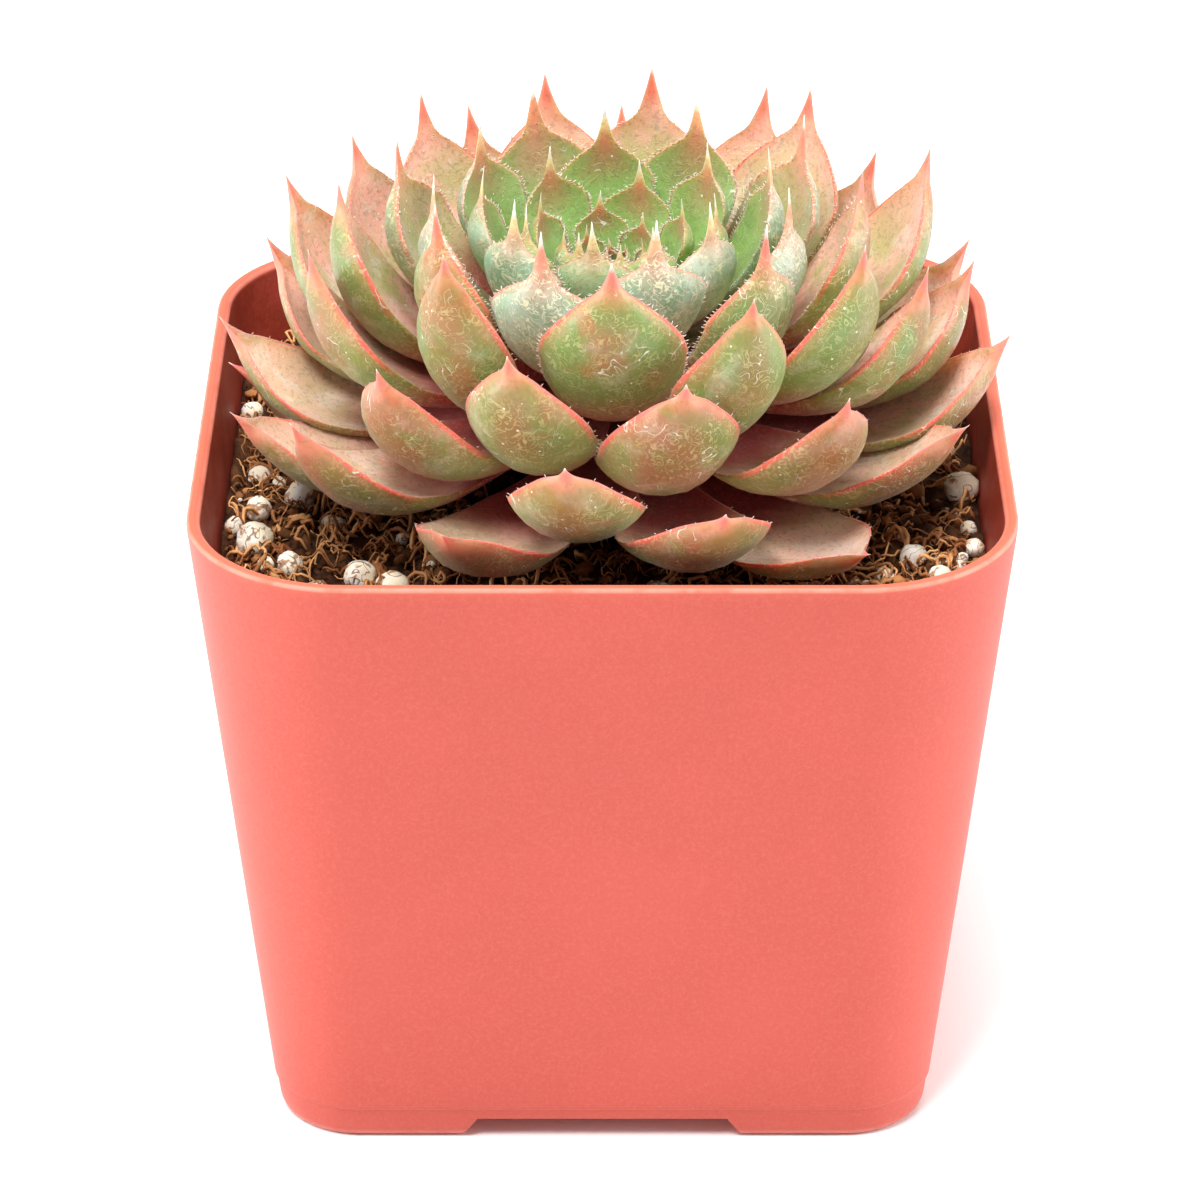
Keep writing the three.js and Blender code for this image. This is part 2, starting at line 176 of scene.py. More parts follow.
def pot_material():
    s = Shader("pot_plastic")
    zone, rim_highlight_and_pale_foot, inside = s.attribute("pot_zone")
    cloud = s.noise(70.0, 4.0, 0.55)
    grain = s.noise(5200.0, 2.0, 0.6)
    colour = s.mix(s.ramp(cloud, 0.35, 0.68), srgb(187, 74, 60), srgb(192, 79, 65))
    colour = s.mix(s.ramp(grain, 0.3, 0.75, 0.0, 0.22), colour, srgb(201, 103, 90))
    # Painted shade: the inside wall is painted dark red-brown, unevenly.
    stain_and_shade = s.ramp(s.noise(330.0, 4.0, 0.6), 0.35, 0.65, 0.55, 0.95)
    colour = s.mix(s.math("MULTIPLY", inside, stain_and_shade), colour, srgb(150, 50, 28))
    # The rim's top is painted a little brighter, as painted light on its upward face, with a painted
    # highlight along its rounded edges.
    colour = s.mix(s.math("MULTIPLY", zone, 0.75), colour, srgb(220, 100, 68))
    # Painted highlight along the rim's rounded edges, broken up by noise; the same channel makes the foot
    # paler.
    highlight_breaks = s.ramp(s.noise(500.0, 3.0, 0.6), 0.3, 0.6, 0.35, 1.0)
    colour = s.mix(s.math("MULTIPLY", s.math("MULTIPLY", rim_highlight_and_pale_foot, highlight_breaks), 0.5), colour, srgb(246, 168, 150))
    speckle = s.noise(3000.0, 2.0, 0.7)
    colour = s.mix(s.ramp(speckle, 0.45, 0.7, 0.0, 0.12), colour, srgb(214, 122, 108))
    s.set(Base_Color=colour, Roughness=s.ramp(cloud, 0.2, 0.8, 0.5, 0.62), Specular_IOR_Level=0.35)
    s.set(Sheen_Weight=s.ramp(inside, 0.0, 1.0, 0.22, 0.0))
    s.set(Sheen_Roughness=0.45, Sheen_Tint=srgb(255, 214, 206))
    fine = s.bump(grain, 0.012, 0.5)
    s.set(Normal=s.bump(s.noise(900.0, 3.0, 0.5), 0.02, 0.35, fine))
    return s.material


def soil_material():
    s = Shader("growing_mix")
    tone, _, _ = s.attribute("tone")
    speckle = s.noise(1500.0, 5.0, 0.7)
    patches = s.noise(260.0, 4.0, 0.6)
    # Dark brown soil with near-black speckle; the darkest speckle is partly painted shade for the gaps
    # between fibres and crumbs.
    colour = s.mix(s.ramp(speckle, 0.35, 0.7), srgb(24, 11, 5), srgb(92, 54, 30))
    colour = s.mix(s.ramp(patches, 0.45, 0.7, 0.0, 0.6), colour, srgb(66, 34, 17))
    colour = s.mix(s.math("MULTIPLY", tone, 0.85), colour, srgb(206, 140, 86))
    s.set(Base_Color=colour, Roughness=0.92, Specular_IOR_Level=0.2)
    s.set(Normal=s.bump(speckle, 0.25, 0.8))
    return s.material


def fibre_material():
    s = Shader("coir_fibre")
    tone, _, _ = s.attribute("tone")
    colour = s.mix(tone, srgb(138, 80, 42), srgb(255, 196, 130))
    colour = s.mix(s.ramp(s.noise(1800.0, 2.0), 0.4, 0.7, 0.0, 0.5), colour, srgb(176, 112, 66))
    s.set(Base_Color=colour, Roughness=0.75, Specular_IOR_Level=0.3)
    s.set(Normal=s.bump(s.noise(4000.0, 2.0), 0.03, 0.5))
    return s.material


def perlite_material():
    s = Shader("perlite")
    place = s.place()
    pits = s.cells(900.0, place)
    cracks = s.noise(700.0, 4.0, 0.6, 0.6, place)
    tint = s.ramp(s.noise(420.0, 3.0, 0.5, 0.0, place), 0.35, 0.7)
    colour = s.mix(tint, srgb(240, 226, 198), srgb(255, 252, 242))
    stain_and_shade = s.math("MULTIPLY", s.ramp(cracks, 0.55, 0.61), 0.85)
    colour = s.mix(stain_and_shade, colour, srgb(170, 116, 66))
    crack = s.math("ABSOLUTE", s.math("SUBTRACT", s.noise(480.0, 2.0, 0.6, 1.0, place), 0.5))
    crack = s.ramp(crack, 0.006, 0.02, 0.8, 0.0)
    colour = s.mix(crack, colour, srgb(120, 78, 44))
    hole = s.ramp(pits, 0.1, 0.28, 1.0, 0.0)
    hole = s.math("MULTIPLY", hole, s.ramp(s.noise(330.0, 2.0, 0.5, 0.0, place), 0.5, 0.56))
    colour = s.mix(hole, colour, srgb(84, 48, 24))
    s.set(Base_Color=colour, Roughness=0.88, Specular_IOR_Level=0.25)
    s.set(Subsurface_Weight=0.15, Subsurface_Radius=(1.0, 0.9, 0.8), Subsurface_Scale=0.5 * MM)
    height = s.math("SUBTRACT", s.noise(1500.0, 4.0, 0.6, 0.0, place), s.math("MULTIPLY", hole, 0.8))
    s.set(Normal=s.bump(height, 0.12, 0.9))
    return s.material


def stem_material():
    s = Shader("woody_stem")
    bark = s.noise(800.0, 5.0, 0.65)
    colour = s.mix(s.ramp(bark, 0.35, 0.7), srgb(92, 58, 36), srgb(160, 118, 80))
    s.set(Base_Color=colour, Roughness=0.85)
    s.set(Normal=s.bump(bark, 0.3, 0.8))
    return s.material


def leaf_material():
    s = Shader("leaf_skin")
    part, across, outer = s.attribute("leaf_place")
    age, chance, spike = s.attribute("leaf_life")
    place = s.place()
    cloud = s.noise(190.0, 3.0, 0.55, 0.4, place)
    mottle = s.noise(560.0, 4.0, 0.62, 0.3, place)
    grit = s.noise(2600.0, 3.0, 0.6, 0.0, place)
    wobble = s.math("MULTIPLY", s.math("SUBTRACT", cloud, 0.5), 0.5)
    climb = s.math("ADD", part, s.math("MULTIPLY", wobble, 0.5))
    inner = s.math("SUBTRACT", 1.0, outer)

    # Outer faces: olive green with brown-pink clouds, greener towards the margins.
    patch = s.math("ADD", cloud, s.math("MULTIPLY", s.math("SUBTRACT", chance, 0.5), 0.16))
    old = s.mix(s.ramp(patch, 0.44, 0.58), srgb(112, 124, 52), srgb(148, 90, 54))
    middle = s.mix(s.ramp(patch, 0.46, 0.64), srgb(116, 142, 68), srgb(158, 112, 56))
    body = s.mix(s.ramp(age, 0.3, 0.52), old, middle)
    green_edge = s.math("MULTIPLY", s.ramp(s.math("ADD", across, wobble), 0.4, 0.85), s.ramp(part, 0.92, 0.7))
    green_edge = s.math("MULTIPLY", green_edge, s.ramp(age, 0.2, 0.5, 0.5, 0.85))
    body = s.mix(green_edge, body, srgb(122, 156, 74))
    body = s.mix(s.math("MULTIPLY", s.ramp(part, 0.64, 0.42), 0.5), body, srgb(158, 112, 88))

    # The inner ring is frosted with wax, and the bud is fresh green.
    frosted = s.mix(s.ramp(cloud, 0.4, 0.68), srgb(128, 176, 142), srgb(180, 202, 184))
    body = s.mix(s.ramp(age, 0.615, 0.665), body, frosted)
    frost = s.math("MULTIPLY", outer, s.ramp(age, 0.6, 0.66))
    frost = s.math("MULTIPLY", frost, s.ramp(age, 0.72, 0.8, 1.0, 0.0))
    fresh = s.mix(s.ramp(cloud, 0.4, 0.7), srgb(132, 176, 94), srgb(164, 194, 120))
    body = s.mix(s.ramp(age, 0.76, 0.86), body, fresh)

    # Inner faces: olive low down, dusty pink above, streaked along the leaf; their colours are painted
    # lighter, as painted light against the shade in the rosette's hollow.
    streak = s.math("ADD", s.math("MULTIPLY", cloud, 0.65), s.math("MULTIPLY", mottle, 0.35))
    streak = s.ramp(streak, 0.42, 0.58)
    face = s.mix(streak, srgb(184, 188, 112), srgb(240, 190, 166))
    rosy = s.math("MULTIPLY", s.ramp(climb, 0.5, 0.85), s.ramp(age, 0.5, 0.72, 1.0, 0.25))
    face = s.mix(s.math("MULTIPLY", rosy, 0.7), face, srgb(255, 190, 172))
    # Painted light: the oldest, lowest leaves get paler upper faces, as if well lit.
    face = s.mix(s.ramp(age, 0.3, 0.16, 0.0, 0.5), face, srgb(255, 212, 188))
    # Pale patches on the inner faces: partly wax bloom, partly painted highlight.
    bloom_and_highlight = s.math("MULTIPLY", s.ramp(s.noise(330.0, 4.0, 0.6, 0.5, place), 0.5, 0.66), 0.4)
    face = s.mix(bloom_and_highlight, face, srgb(246, 238, 224))
    browner = s.ramp(s.math("ADD", across, wobble), 0.1, 0.9, 0.9, 0.1)
    browner = s.math("MULTIPLY", s.ramp(climb, 0.56, 0.8), browner)
    heart = s.mix(browner, srgb(134, 172, 88), srgb(178, 132, 88))
    face = s.mix(s.ramp(age, 0.58, 0.7), face, heart)
    body = s.mix(inner, body, face)

    # Pale patches on the outer faces: partly dry wax, partly painted highlight.
    wax_and_highlight = s.math("MULTIPLY", s.ramp(s.noise(240.0, 5.0, 0.65, 0.8, place), 0.5, 0.68), outer)
    body = s.mix(s.math("MULTIPLY", wax_and_highlight, 0.22), body, srgb(240, 236, 218))

    # Deep red at the bases, seen in the gaps.
    red = s.math("MULTIPLY", s.ramp(climb, 0.34, 0.61, 0.95, 0.0), s.ramp(age, 0.62, 0.74, 1.0, 0.1))
    body = s.mix(red, body, srgb(176, 52, 62))

    # A flush of pink towards the tip of an outer face, and a brown blotch under it.
    flush_start = s.math("ADD", s.ramp(age, 0.0, 0.9, 0.66, 0.84), s.math("MULTIPLY", chance, 0.08))
    flush = s.ramp(s.math("SUBTRACT", climb, flush_start), 0.0, 0.28)
    flush = s.math("MULTIPLY", flush, s.math("MULTIPLY", outer, s.ramp(age, 0.55, 0.72, 0.5, 0.36)))
    body = s.mix(flush, body, srgb(200, 120, 80))
    spot = s.math("MULTIPLY", s.ramp(climb, 0.6, 0.78), s.ramp(climb, 0.82, 0.96, 1.0, 0.0))
    spot = s.math("MULTIPLY", spot, s.ramp(s.math("ADD", across, wobble), 0.1, 0.55, 1.0, 0.0))
    spot = s.math("MULTIPLY", spot, s.math("MULTIPLY", outer, s.ramp(age, 0.35, 0.64, 0.8, 0.2)))
    body = s.mix(spot, body, srgb(150, 98, 42))

    # Fine red line on the margin, and the red tip that pales to cream on young leaves.
    edge = s.math("ADD", across, s.math("MULTIPLY", s.math("SUBTRACT", mottle, 0.5), 0.06))
    line = s.math("MULTIPLY", s.ramp(edge, 0.93, 0.965), s.ramp(part, 0.56, 0.78))
    line = s.math("MULTIPLY", line, s.ramp(age, 0.55, 0.8, 0.95, 0.3))
    soft = s.math("MULTIPLY", s.ramp(edge, 0.7, 0.95, 0.0, 0.4), s.ramp(part, 0.6, 0.85))
    soft = s.math("MULTIPLY", soft, s.ramp(age, 0.6, 0.8, 1.0, 0.5))
    body = s.mix(soft, body, srgb(224, 138, 106))
    body = s.mix(line, body, srgb(240, 100, 90))
    beyond = s.math("DIVIDE", s.math("SUBTRACT", part, spike), s.math("SUBTRACT", 1.0, spike))
    body = s.mix(s.ramp(beyond, -0.5, 0.25, 0.0, 0.5), body, srgb(232, 134, 110))
    tip = s.ramp(beyond, 0.1, 0.6)
    tip_colour = s.mix(s.ramp(age, 0.62, 0.8), srgb(240, 106, 98), srgb(252, 220, 160))
    body = s.mix(s.math("MULTIPLY", tip, 0.92), body, tip_colour)
    white_from = s.ramp(age, 0.5, 0.75, 0.985, 0.93)
    white = s.math("MULTIPLY", s.math("SUBTRACT", part, white_from), 40.0, clamp=True)
    body = s.mix(s.math("MULTIPLY", white, 0.9), body, srgb(255, 246, 228))

    # Papillae: fine pale strokes over the whole skin.
    ridge = s.math("ABSOLUTE", s.math("SUBTRACT", s.noise(1250.0, 1.0, 0.5, 1.4, place), 0.5))
    stroke = s.math("MULTIPLY", s.ramp(ridge, 0.012, 0.05, 1.0, 0.0), s.ramp(mottle, 0.35, 0.6, 0.35, 1.0))
    stroke = s.math("MULTIPLY", stroke, s.ramp(part, 0.86, 0.93, 1.0, 0.0))
    body = s.mix(s.math("MULTIPLY", s.math("MULTIPLY", stroke, frost), 0.7), body, srgb(246, 250, 236))
    body = s.mix(s.math("MULTIPLY", stroke, s.ramp(outer, 0.0, 1.0, 0.16, 0.45)), body, srgb(222, 212, 150))
    body = s.mix(s.ramp(grit, 0.5, 0.36, 0.0, 0.3), body, srgb(120, 104, 60))

    # Dry hairs and specks caught on the skin.
    wander = s.noise(430.0, 1.0, 0.5, 1.2, place)
    thread = s.ramp(s.math("ABSOLUTE", s.math("SUBTRACT", wander, 0.5)), 0.003, 0.009, 1.0, 0.0)
    thread = s.math("MULTIPLY", thread, s.ramp(s.noise(330.0, 1.0, 0.5, 0.0, place), 0.57, 0.63))
    speck = s.math("MULTIPLY", s.ramp(s.cells(1000.0, place), 0.07, 0.13, 1.0, 0.0),
                   s.ramp(s.noise(260.0, 2.0, 0.5, 0.0, place), 0.5, 0.58))
    marks = s.math("MAXIMUM", s.math("MULTIPLY", thread, 0.75), s.math("MULTIPLY", speck, 0.85))
    on_blade = s.math("MULTIPLY", s.ramp(part, 0.4, 0.5), s.ramp(part, 0.9, 0.94, 1.0, 0.0))
    marks = s.math("MULTIPLY", marks, on_blade)
    body = s.mix(marks, body, srgb(248, 246, 232))

    s.set(Base_Color=body, Roughness=s.ramp(mottle, 0.3, 0.7, 0.3, 0.5), Specular_IOR_Level=0.6)
    s.set(Subsurface_Weight=0.35, Subsurface_Radius=(1.0, 0.6, 0.35), Subsurface_Scale=1.2 * MM)
    s.set(Sheen_Weight=0.15, Sheen_Roughness=0.5)
    skin = s.bump(stroke, 0.035, 0.8, s.bump(grit, 0.02, 0.5))
    skin = s.bump(mottle, 0.12, 0.45, skin)
    s.set(Normal=s.bump(marks, 0.06, 0.8, skin))
    return s.material


def cilia_material():
    s = Shader("leaf_cilia")
    part, _, _ = s.attribute("leaf_place")
    colour = s.mix(s.ramp(part, 0.0, 1.0), srgb(238, 170, 150), srgb(255, 250, 240))
    s.set(Base_Color=colour, Roughness=0.5, Specular_IOR_Level=0.4)
    s.set(Subsurface_Weight=0.3, Subsurface_Radius=(1.0, 0.8, 0.7), Subsurface_Scale=0.5 * MM)
    return s.material


# ---------------------------------------------------------------- pot

POT_TOP_HALF = 30.0
POT_BASE_HALF = 24.55
POT_TOP_CORNER = 11.9
POT_BASE_CORNER = 6.3
POT_HEIGHT = 49.4
POT_WALL = 1.0
CHANNEL_HEIGHT = 1.8
CHANNEL_HALF_AT_TOP = 9.35
CHANNEL_HALF_AT_GROUND = 10.6
FLOOR_TOP = 3.0
HOLE_RADIUS = 2.2
HOLE_DISTANCE = 17.5
# Height and inset of the outside below the mould line, down to the underside.
FOOT_PROFILE = [
    (2.85, 0.0), (2.78, 0.04), (2.7, 0.14), (2.6, 0.15), (1.6, 0.15), (0.8, 0.18),
    (0.4, 0.3), (0.14, 0.55), (0.02, 0.95), (0.0, 1.4), (0.0, 8.0),
]


def rounded_square(half, corner, z, corner_steps, side_steps):
    """Outline of a square with rounded corners, anticlockwise from above."""
    points = []
    signs = [(1, 1), (-1, 1), (-1, -1), (1, -1)]
    for quarter, (sx, sy) in enumerate(signs):
        centre = np.array([sx * (half - corner), sy * (half - corner)])
        for i in range(corner_steps + 1):
            angle = (quarter + i / corner_steps) * math.pi / 2
            points.append(centre + corner * np.array([math.cos(angle), math.sin(angle)]))
        nx, ny = signs[(quarter + 1) % 4]
        end_angle = (quarter + 1) * math.pi / 2
        ahead = np.array([nx, ny]) * (half - corner)
        ahead = ahead + corner * np.array([math.cos(end_angle), math.sin(end_angle)])
        here = points[-1]
        for i in range(1, side_steps):
            points.append(here + (ahead - here) * i / side_steps)
    return np.array([[x, y, z] for x, y in points])


def pot_ring(z, inset, corner_steps=18, side_steps=14):
    t = z / POT_HEIGHT
    half = POT_BASE_HALF + (POT_TOP_HALF - POT_BASE_HALF) * t - inset
    corner = POT_BASE_CORNER + (POT_TOP_CORNER - POT_BASE_CORNER) * t - inset
    return rounded_square(half, max(corner, 0.5), z, corner_steps, side_steps)


def wall_depth(x, y, z):
    """How far a point lies within the pot's outer face, in millimetres."""
    t = z / POT_HEIGHT
    half = POT_BASE_HALF + (POT_TOP_HALF - POT_BASE_HALF) * t
    corner = POT_BASE_CORNER + (POT_TOP_CORNER - POT_BASE_CORNER) * t
    dx = abs(x) - (half - corner)
    dy = abs(y) - (half - corner)
    if dx > 0 and dy > 0:
        return corner - math.hypot(dx, dy)
    return half - max(abs(x), abs(y))


def skin_rings(rings):
    """Vertices and faces of a closed skin through equal rings, with a fan at each end."""
    count = len(rings[0])
    vertices = list(np.concatenate(rings))
    faces = []
    for k in range(len(rings) - 1):
        for i in range(count):
            j = (i + 1) % count
            faces.append((k * count + i, k * count + j, (k + 1) * count + j, (k + 1) * count + i))
    vertices.append(rings[0].mean(axis=0))
    c = len(vertices) - 1
    faces += [(c, (i + 1) % count, i) for i in range(count)]
    vertices.append(rings[-1].mean(axis=0))
    c = len(vertices) - 1
    last = (len(rings) - 1) * count
    faces += [(c, last + i, last + (i + 1) % count) for i in range(count)]
    return vertices, faces


def cut_with(target, cutter):
    modifier = target.modifiers.new("cut", "BOOLEAN")
    modifier.operation = "DIFFERENCE"
    modifier.solver = "EXACT"
    modifier.object = cutter
    apply_modifiers(target)
    bpy.data.objects.remove(cutter, do_unlink=True)


def apply_modifiers(target):
    graph = bpy.context.evaluated_depsgraph_get()
    baked = bpy.data.meshes.new_from_object(target.evaluated_get(graph))
    target.modifiers.clear()
    target.data = baked


def channel_bar(along_x):
    reach = POT_TOP_HALF + 5
    slope = (CHANNEL_HALF_AT_GROUND - CHANNEL_HALF_AT_TOP) / CHANNEL_HEIGHT
    rings = []
    for z in (-1.0, CHANNEL_HEIGHT):
        half = CHANNEL_HALF_AT_GROUND - slope * z
        x, y = (reach, half) if along_x else (half, reach)
        rings.append(np.array([[x, y, z], [-x, y, z], [-x, -y, z], [x, -y, z]]))
    return skin_rings(rings)


def build_pot(material):
    rings = []
    # Inside, from the floor up to the rim.
    for rise, inset in ((0, 3.0), (0, 0.8), (0.25, 0.2), (0.9, 0)):
        rings.append(pot_ring(FLOOR_TOP + rise, POT_WALL + inset))
    for z in np.linspace(6, POT_HEIGHT - 0.6, 14):
        rings.append(pot_ring(z, POT_WALL))
    # The rim's rounded top.
    for i in range(9):
        angle = math.pi * i / 8
        inset = POT_WALL / 2 + POT_WALL / 2 * math.cos(angle)
        rings.append(pot_ring(POT_HEIGHT - 0.42 + 0.42 * math.sin(angle), inset))
    # Outside, down past the mould line to the feet.
    for z in np.linspace(POT_HEIGHT - 1.2, 3.2, 22):
        rings.append(pot_ring(z, 0.0))
    for z, inset in FOOT_PROFILE:
        rings.append(pot_ring(z, inset))
    vertices, faces = skin_rings(rings[::-1])
    pot = mesh_piece("pot_shell", vertices, faces, [material])
    for along_x in (True, False):
        bar_vertices, bar_faces = channel_bar(along_x)
        cut_with(pot, mesh_piece("cutter", bar_vertices, bar_faces, []))
    for i in range(4):
        angle = i * math.pi / 2
        centre = np.array([HOLE_DISTANCE * math.cos(angle), HOLE_DISTANCE * math.sin(angle), 0.0])
        turns = np.linspace(0, 2 * math.pi, 33)[:-1]
        circle = [np.array([math.cos(a), math.sin(a), 0.0]) * HOLE_RADIUS for a in turns]
        hole = [np.array([centre + p + [0, 0, z] for p in circle]) for z in (-1.0, 5.0)]
        hole_vertices, hole_faces = skin_rings(hole)
        cut_with(pot, mesh_piece("cutter", hole_vertices, hole_faces, []))
    bevel = pot.modifiers.new("soften", "BEVEL")
    bevel.limit_method = "ANGLE"
    bevel.angle_limit = math.radians(32)
    bevel.width = 0.3 * MM
    bevel.segments = 3
    apply_modifiers(pot)
    mesh = pot.data
    mesh.polygons.foreach_set("use_smooth", [True] * len(mesh.polygons))
    zones = []
    for vertex in mesh.vertices:
        z = vertex.co.z / MM
        depth = wall_depth(vertex.co.x / MM, vertex.co.y / MM, z)
        top = float(smoothstep(POT_HEIGHT - 0.5, POT_HEIGHT - 0.2, z))
        edges = float(max(smoothstep(0.32, 0.15, depth), 0.7 * smoothstep(0.68, 0.85, depth)))
        # Painted highlight on the rim's rounded edges; the foot below is made paler.
        rim_edge_highlight = float(smoothstep(POT_HEIGHT - 0.45, POT_HEIGHT - 0.25, z)) * edges
        foot = float(smoothstep(0.9, 0.2, z)) * 0.7
        # The inside wall, which the pot material paints dark as painted shade.
        within = 1.0 if depth > POT_WALL * 0.75 and z > CHANNEL_HEIGHT + 0.2 else 0.0
        zones.append((top, max(rim_edge_highlight, foot), within * (1 - top)))
    layer = mesh.attributes.new("pot_zone", "FLOAT_VECTOR", "POINT")
    layer.data.foreach_set("vector", np.array(zones, dtype=np.float32).ravel())
    mesh.materials.clear()
    mesh.materials.append(material)
    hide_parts("pot")
    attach(pot, "root")


# ---------------------------------------------------------------- soil and what lies in it

SOIL_TOP = 43.0
CRUMB_COUNT = 1500
FIBRE_COUNT = 2150
FIBRE_STEP = 0.3
SMALL_GRAIN_COUNT = 150


def soil_height(x, y):
    """Height of the soil's lumpy top, in millimetres."""
    p = Vector((x, y, 0.0))
    lumps = noise.fractal(p * 0.35 + Vector((3, 7, 1)), 1.0, 2.0, 3)
    crumbs = noise.fractal(p * 1.3 + Vector((9, 2, 5)), 1.0, 2.0, 3)
    clods = noise.voronoi(p * 0.55 + Vector((1, 4, 0)))[0][0]
    return SOIL_TOP + 0.7 * lumps + 0.6 * crumbs - 0.9 * clods + 0.25


def build_soil(material):
    rings = []
    rings.append(pot_ring(FLOOR_TOP + 0.4, POT_WALL + 1.0, 20, 20))
    for z in (FLOOR_TOP + 1.1, 15.0, 30.0, SOIL_TOP - 1.5):
        rings.append(pot_ring(z, POT_WALL + 0.12, 20, 20))
    edge = pot_ring(SOIL_TOP, POT_WALL + 0.14, 20, 20)
    steps = 110
    for k in range(steps):
        ring = edge.copy()
        ring[:, :2] *= 1 - k / steps
        for point in ring:
            point[2] = soil_height(point[0], point[1])
        rings.append(ring)
    vertices, faces = skin_rings(rings)
    tones = np.zeros((len(vertices), 3))
    for i, v in enumerate(vertices):
        tones[i, 0] = 0.35 * max(0.0, noise.noise(Vector(v) * 0.8))
    soil = mesh_piece("soil_bed", vertices, faces, [material], {"tone": tones})
    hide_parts("soil")
    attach(soil, "root")


def inside_pot(x, y, margin):
    """True where a point is inside the pot's walls at the soil's height, with some room."""
    t = SOIL_TOP / POT_HEIGHT
    half = POT_BASE_HALF + (POT_TOP_HALF - POT_BASE_HALF) * t - POT_WALL - margin
    corner = POT_BASE_CORNER + (POT_TOP_CORNER - POT_BASE_CORNER) * t - POT_WALL - margin
    dx = max(abs(x) - (half - corner), 0.0)
    dy = max(abs(y) - (half - corner), 0.0)
    return abs(x) < half and abs(y) < half and math.hypot(dx, dy) < corner


def ball(detail):
    """Unit ball vertices and faces."""
    mesh = bmesh.new()
    bmesh.ops.create_icosphere(mesh, subdivisions=detail, radius=1.0)
    vertices = np.array([v.co[:] for v in mesh.verts])
    faces = [tuple(v.index for v in f.verts) for f in mesh.faces]
    mesh.free()
    return vertices, faces


def scatter_spot(rng, margin, hidden_radius):
    """A random place on the soil that the leaves don't wholly hide."""
    while True:
        x = rng.uniform(-28.5, 28.5)
        y = rng.uniform(-28.5, 28.5)
        if inside_pot(x, y, margin) and math.hypot(x, y) > hidden_radius:
            return x, y


def build_crumbs(material):
    rng = random.Random(11)
    shape, shape_faces = ball(2)
    vertices = []
    faces = []
    tones = []
    for _ in range(CRUMB_COUNT):
        x, y = scatter_spot(rng, 0.5, 9.0)
        size = 0.22 + 0.6 * rng.random() ** 3
        stretch = np.array([rng.uniform(0.7, 1.4), rng.uniform(0.7, 1.2), rng.uniform(0.6, 1.0)])
        seed = Vector((rng.uniform(0, 90), rng.uniform(0, 90), rng.uniform(0, 90)))
        spin = rng.uniform(0, math.tau)
        cos, sin = math.cos(spin), math.sin(spin)
        turn = np.array([[cos, -sin, 0], [sin, cos, 0], [0, 0, 1]])
        rough = np.array([1.0 + 0.55 * noise.noise(Vector(v) * 1.6 + seed) for v in shape])
        points = (shape * rough[:, None] * stretch * size) @ turn.T
        start = len(vertices)
        vertices += list(points + [x, y, soil_height(x, y) + size * rng.uniform(-0.1, 0.5)])
        faces += [tuple(start + i for i in face) for face in shape_faces]
        tone = rng.random() ** 2
        tones += [(tone, 0, 0)] * len(points)
    crumbs = mesh_piece("soil_crumbs", vertices, faces, [material], {"tone": tones})
    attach(crumbs, "root")


def tube(points, radius, sides=4):
    """Vertices and faces of a thin tube that tapers at its ends."""
    vertices = []
    count = len(points)
    for i, point in enumerate(points):
        ahead = points[min(i + 1, count - 1)] - points[max(i - 1, 0)]
        ahead = ahead / (np.linalg.norm(ahead) + 1e-9)
        helper = np.array([0.0, 0.0, 1.0]) if abs(ahead[2]) < 0.9 else np.array([1.0, 0.0, 0.0])
        right = np.cross(ahead, helper)
        right /= np.linalg.norm(right) + 1e-9
        up = np.cross(right, ahead)
        taper = radius * (0.35 + 0.65 * math.sin(math.pi * (i + 0.4) / (count - 0.2)))
        for k in range(sides):
            a = math.tau * k / sides
            vertices.append(point + taper * (math.cos(a) * right + math.sin(a) * up))
    faces = []
    for i in range(count - 1):
        for k in range(sides):
            j = (k + 1) % sides
            faces.append((i * sides + k, i * sides + j, (i + 1) * sides + j, (i + 1) * sides + k))
    faces.append(tuple(range(sides))[::-1])
    faces.append(tuple((count - 1) * sides + k for k in range(sides)))
    return vertices, faces


def build_fibres(material):
    rng = random.Random(23)
    vertices = []
    faces = []
    tones = []
    for _ in range(FIBRE_COUNT):
        x, y = scatter_spot(rng, 0.6, 11.0)
        heading = rng.uniform(0, math.tau)
        curl = rng.uniform(-0.75, 0.75)
        lift = rng.uniform(0.05, 1.3)
        length = rng.randint(6, 15)
        points = []
        for i in range(length):
            if not inside_pot(x, y, 0.35):
                break
            z = soil_height(x, y) + lift * math.sin(math.pi * i / (length - 1)) + 0.12
            points.append(np.array([x, y, z]))
            curl += rng.uniform(-0.3, 0.3)
            curl *= 0.9
            heading += curl
            x += FIBRE_STEP * math.cos(heading)
            y += FIBRE_STEP * math.sin(heading)
        if len(points) < 4:
            continue
        tube_vertices, tube_faces = tube(points, 0.06 + 0.15 * rng.random() ** 1.6)
        start = len(vertices)
        vertices += tube_vertices
        faces += [tuple(start + i for i in face) for face in tube_faces]
        tone = rng.random() ** 1.9
        tones += [(tone, 0, 0)] * len(tube_vertices)
    fibres = mesh_piece("coir_fibres", vertices, faces, [material], {"tone": tones})
    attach(fibres, "root")


def grain_mesh(rng, x, y, z, radius, shape):
    seed = Vector((rng.uniform(0, 90), rng.uniform(0, 90), rng.uniform(0, 90)))
    squash = np.array([rng.uniform(0.9, 1.08), rng.uniform(0.9, 1.08), rng.uniform(0.86, 1.0)])
    rough = np.array([
        1.0 + 0.13 * noise.noise(Vector(v) * 1.3 + seed) + 0.05 * noise.noise(Vector(v) * 4.0 + seed)
        for v in shape
    ])
    return shape * rough[:, None] * squash * radius + [x, y, z]


